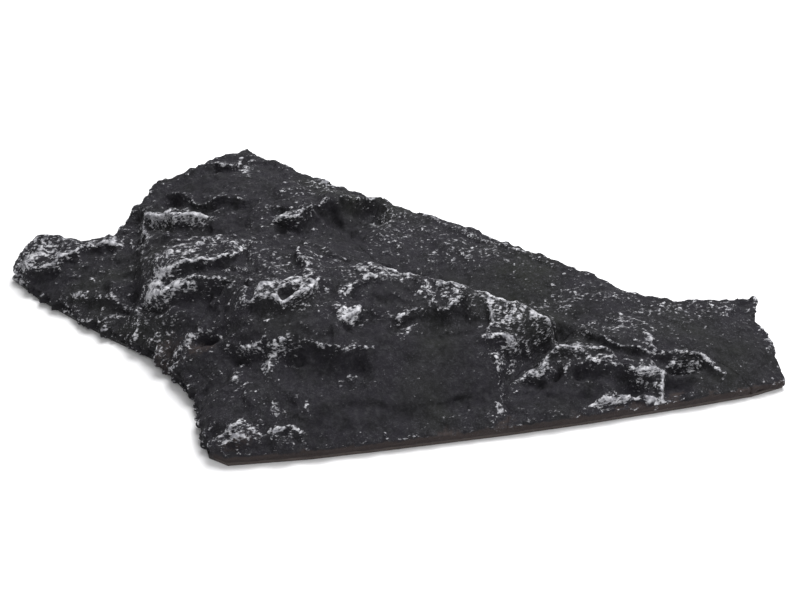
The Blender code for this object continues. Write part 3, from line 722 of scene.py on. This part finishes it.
def rock_piece(mass, plan):
    """One mass's finished rock: the outer surface with the CAD skin's own hollow under it."""
    mesh = remeshed(block_of_rock(f"{mass}_block", plan))
    roughen(mesh)
    paint_masks(mesh)
    work = bmesh.new()
    work.from_mesh(mesh)
    bmesh.ops.bisect_plane(
        work, geom=work.verts[:] + work.edges[:] + work.faces[:], plane_co=(0, 0, SEAT),
        plane_no=(0, 0, 1), clear_inner=True,
    )
    close_underside(work, hollow_under(mass))
    bmesh.ops.recalc_face_normals(work, faces=work.faces)
    result = bpy.data.meshes.new(f"{mass}_rock")
    work.to_mesh(result)
    work.free()
    result.shade_smooth()
    lay_out(result)
    piece = bpy.data.objects.new(f"{mass}_rock", result)
    bpy.context.scene.collection.objects.link(piece)
    return piece


class Nodes:
    """A short way to build a material's nodes."""

    def __init__(self, name):
        self.material = bpy.data.materials.new(name)
        self.material.use_nodes = True
        self.tree = self.material.node_tree
        self.shader = self.tree.nodes["Principled BSDF"]

    def add(self, kind, inputs=None, **settings):
        node = self.tree.nodes.new(kind)
        for key, value in settings.items():
            setattr(node, key, value)
        for key, value in (inputs or {}).items():
            self.put(node.inputs[key], value)
        return node

    def put(self, socket, value):
        if isinstance(value, bpy.types.NodeSocket):
            self.tree.links.new(value, socket)
        else:
            socket.default_value = value

    def math(self, operation, *values):
        node = self.add("ShaderNodeMath", operation=operation)
        for socket, value in zip(node.inputs, values):
            self.put(socket, value)
        return node.outputs[0]

    def between(self, value, low, high, to_low=0.0, to_high=1.0):
        node = self.add("ShaderNodeMapRange", interpolation_type="SMOOTHSTEP")
        for key, setting in (
            ("Value", value), ("From Min", low), ("From Max", high), ("To Min", to_low), ("To Max", to_high)
        ):
            self.put(node.inputs[key], setting)
        return node.outputs[0]

    def blend(self, *parts):
        """The sum of values, each times its weight."""
        total = None
        for weight, value in parts:
            part = self.math("MULTIPLY", value, weight)
            total = part if total is None else self.math("ADD", total, part)
        return total

    def centred(self, value):
        return self.math("SUBTRACT", value, 0.5)

    def noise(self, scale, detail=4.0, roughness=0.55, vector=None):
        node = self.add("ShaderNodeTexNoise", {"Scale": scale, "Detail": detail, "Roughness": roughness})
        self.put(node.inputs["Vector"], vector or self.place())
        return node.outputs["Fac"]

    def place(self):
        return self.add("ShaderNodeTexCoord").outputs["Object"]

    def attribute(self, name):
        return self.add("ShaderNodeAttribute", attribute_name=name).outputs["Fac"]

    def mix(self, share, first, second):
        node = self.add("ShaderNodeMix", data_type="RGBA")
        self.put(node.inputs[0], share)
        self.put(node.inputs[6], first)
        self.put(node.inputs[7], second)
        return node.outputs[2]


COOL_BLACK = (0.0125, 0.0115, 0.0155, 1)
GREEN_BLACK = (0.0115, 0.0125, 0.0105, 1)
DEEP_BLACK = (0.006, 0.006, 0.007, 1)
CHARCOAL = (0.028, 0.028, 0.031, 1)
DARK_BROWN = (0.012, 0.009, 0.009, 1)
LIGHT_BROWN = (0.050, 0.038, 0.036, 1)
DUST = (0.066, 0.065, 0.075, 1)
THIN_WHITE = (0.20, 0.20, 0.22, 1)
FULL_WHITE = (0.60, 0.60, 0.63, 1)


def rock_paint():
    """Charcoal coat with white dragged over whatever stands proud, and brown where the coat is thin."""
    n = Nodes("rock_paint")
    base = n.mix(n.between(n.noise(11, 2), 0.5, 0.75), COOL_BLACK, GREEN_BLACK)
    base = n.mix(n.between(n.noise(70, 4, 0.6), 0.4, 0.75), base, DEEP_BLACK)
    base = n.mix(n.between(n.noise(240, 4, 0.65), 0.45, 0.7, 0.0, 0.7), base, CHARCOAL)
    streaks = n.add("ShaderNodeMapping", {"Vector": n.place(), "Scale": (0.12, 1.0, 1.6)}).outputs[0]
    brown = n.mix(n.noise(190, 4, 0.6, streaks), DARK_BROWN, LIGHT_BROWN)
    thin = n.blend(
        (1.0, n.attribute("raw")), (0.9, n.centred(n.noise(60, 4))), (0.7, n.centred(n.noise(260, 3))),
    )
    base = n.mix(n.between(thin, 0.25, 0.6), base, brown)
    up = n.between(n.attribute("facing_up"), -0.1, 0.75)
    bare = n.math("SUBTRACT", 1.0, n.math("MULTIPLY", n.attribute("smooth"), 0.75))
    dust_specks = n.between(n.noise(780, 2, 0.7), 0.50, 0.72)
    dust_patches = n.between(n.noise(90, 3), 0.3, 0.7, 0.25, 1.0)
    dust = n.math("MULTIPLY", dust_specks, dust_patches)
    dust = n.math("MULTIPLY", n.math("MULTIPLY", dust, bare), n.blend((0.25, 1.0), (0.45, up)))
    base = n.mix(dust, base, DUST)
    strokes = n.add("ShaderNodeMapping", {"Vector": n.place(), "Scale": (0.6, 1.0, 1.3)}).outputs[0]
    wanted = n.blend(
        (0.74, n.attribute("brushed")), (0.86, n.attribute("dabbed")), (0.95, n.attribute("proud_fine")),
        (0.07, n.attribute("proud_broad")), (3.6, n.centred(n.noise(520, 3, 0.65, strokes))),
        (1.9, n.centred(n.noise(170, 3, 0.6))), (0.35, up), (-0.35, n.attribute("smooth")), (-0.38, 1.0),
    )
    white = n.between(wanted, 0.5, 1.2)
    shade = n.mix(n.between(n.noise(260, 2), 0.3, 0.7), THIN_WHITE, FULL_WHITE)
    n.put(n.shader.inputs["Base Color"], n.mix(white, base, shade))
    n.shader.inputs["Roughness"].default_value = 0.8
    n.shader.inputs["Specular IOR Level"].default_value = 0.2
    bump = n.add("ShaderNodeBump", {"Strength": 1.0, "Distance": 0.0013})
    n.put(bump.inputs["Height"], n.blend((1.0, n.noise(650, 4, 0.7)), (0.25, white)))
    n.put(n.shader.inputs["Normal"], bump.outputs[0])
    return n.material


def foam():
    n = Nodes("brown_foam")
    cells = n.add("ShaderNodeTexVoronoi", {"Scale": 420.0})
    n.put(cells.inputs["Vector"], n.place())
    n.put(
        n.shader.inputs["Base Color"],
        n.mix(cells.outputs["Distance"], (0.30, 0.20, 0.13, 1), (0.20, 0.13, 0.08, 1)),
    )
    n.shader.inputs["Roughness"].default_value = 0.9
    bump = n.add("ShaderNodeBump", {"Strength": 0.4, "Distance": 0.0005})
    n.put(bump.inputs["Height"], cells.outputs["Distance"])
    n.put(n.shader.inputs["Normal"], bump.outputs[0])
    return n.material


def resin():
    """Brown sheet, with the charcoal coat over its torn sides."""
    n = Nodes("sheet_resin")
    brown = n.mix(n.noise(60, 5, 0.6), (0.072, 0.056, 0.050, 1), (0.020, 0.015, 0.014, 1))
    back = n.add("ShaderNodeSeparateXYZ", {"Vector": n.place()}).outputs[1]
    ragged = n.blend((1.0, back), (0.02, n.centred(n.noise(90, 4))))
    coated = n.between(ragged, LOW.y + 0.012, LOW.y + 0.022)
    specks = n.between(n.noise(480, 3, 0.6), 0.6, 0.7)
    coat = n.mix(specks, (0.012, 0.012, 0.013, 1), (0.17, 0.17, 0.18, 1))
    n.put(n.shader.inputs["Base Color"], n.mix(coated, brown, coat))
    n.shader.inputs["Roughness"].default_value = 0.7
    bump = n.add("ShaderNodeBump", {"Strength": 0.7, "Distance": 0.001})
    n.put(bump.inputs["Height"], n.noise(380, 3, 0.6))
    n.put(n.shader.inputs["Normal"], bump.outputs[0])
    return n.material


def plain(name, colour):
    n = Nodes(name)
    n.shader.inputs["Base Color"].default_value = (*colour, 1)
    n.shader.inputs["Roughness"].default_value = 0.9
    return n.material


def assign(piece, material):
    piece.data.materials.clear()
    piece.data.materials.append(material)


def build_rock():
    paint = rock_paint()
    for mass, plan in PLANS.items():
        piece = rock_piece(mass, plan)
        assign(piece, paint)
        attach(piece, "root")
        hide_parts(f"{mass}_skin")


def dress_cad():
    core_material, sheet_material = foam(), resin()
    for mass in PLANS:
        assign(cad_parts[f"{mass}_core"], core_material)
    assign(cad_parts["backing_sheet"], sheet_material)


def make_stage():
    half = 4.0
    under = -0.0005
    corners = [(-half, -half, under), (half, -half, under), (half, half, under), (-half, half, under)]
    floor = new_object("floor", corners, [(0, 1, 2, 3)])
    assign(floor, plain("floor", (0.86, 0.86, 0.87)))


def aim(thing, place, target):
    thing.location = place
    thing.rotation_euler = (Vector(target) - Vector(place)).to_track_quat("-Z", "Y").to_euler()


def make_camera():
    data = bpy.data.cameras.new("camera")
    data.lens = 50
    data.sensor_width = 36
    camera = bpy.data.objects.new("camera", data)
    bpy.context.scene.collection.objects.link(camera)
    azimuth = math.radians(-10.8)
    elevation = math.radians(40)
    distance = 0.945
    target = Vector((0.0209, -0.0222, 0))
    level = math.cos(elevation)
    back = Vector((math.sin(azimuth) * level, -math.cos(azimuth) * level, math.sin(elevation)))
    aim(camera, target + back * distance, target)
    bpy.context.scene.camera = camera


def make_light(name, place, power, size):
    data = bpy.data.lights.new(name, "AREA")
    data.energy = power
    data.size = size
    light = bpy.data.objects.new(name, data)
    bpy.context.scene.collection.objects.link(light)
    aim(light, place, (0, 0, 0.02))


def make_lights():
    make_light("top_softbox", (0.4, 0.4, 1.45), power=35, size=0.9)
    make_light("front_fill", (0.5, -1.3, 1.2), power=12, size=1.2)
    world = bpy.data.worlds.new("studio")
    bpy.context.scene.world = world
    world.use_nodes = True
    world.node_tree.nodes["Background"].inputs["Color"].default_value = (1, 1, 1, 1)
    world.node_tree.nodes["Background"].inputs["Strength"].default_value = 0.38


make_camera()
build_rock()
dress_cad()
make_stage()
make_lights()
bpy.context.scene.view_settings.view_transform = "Standard"
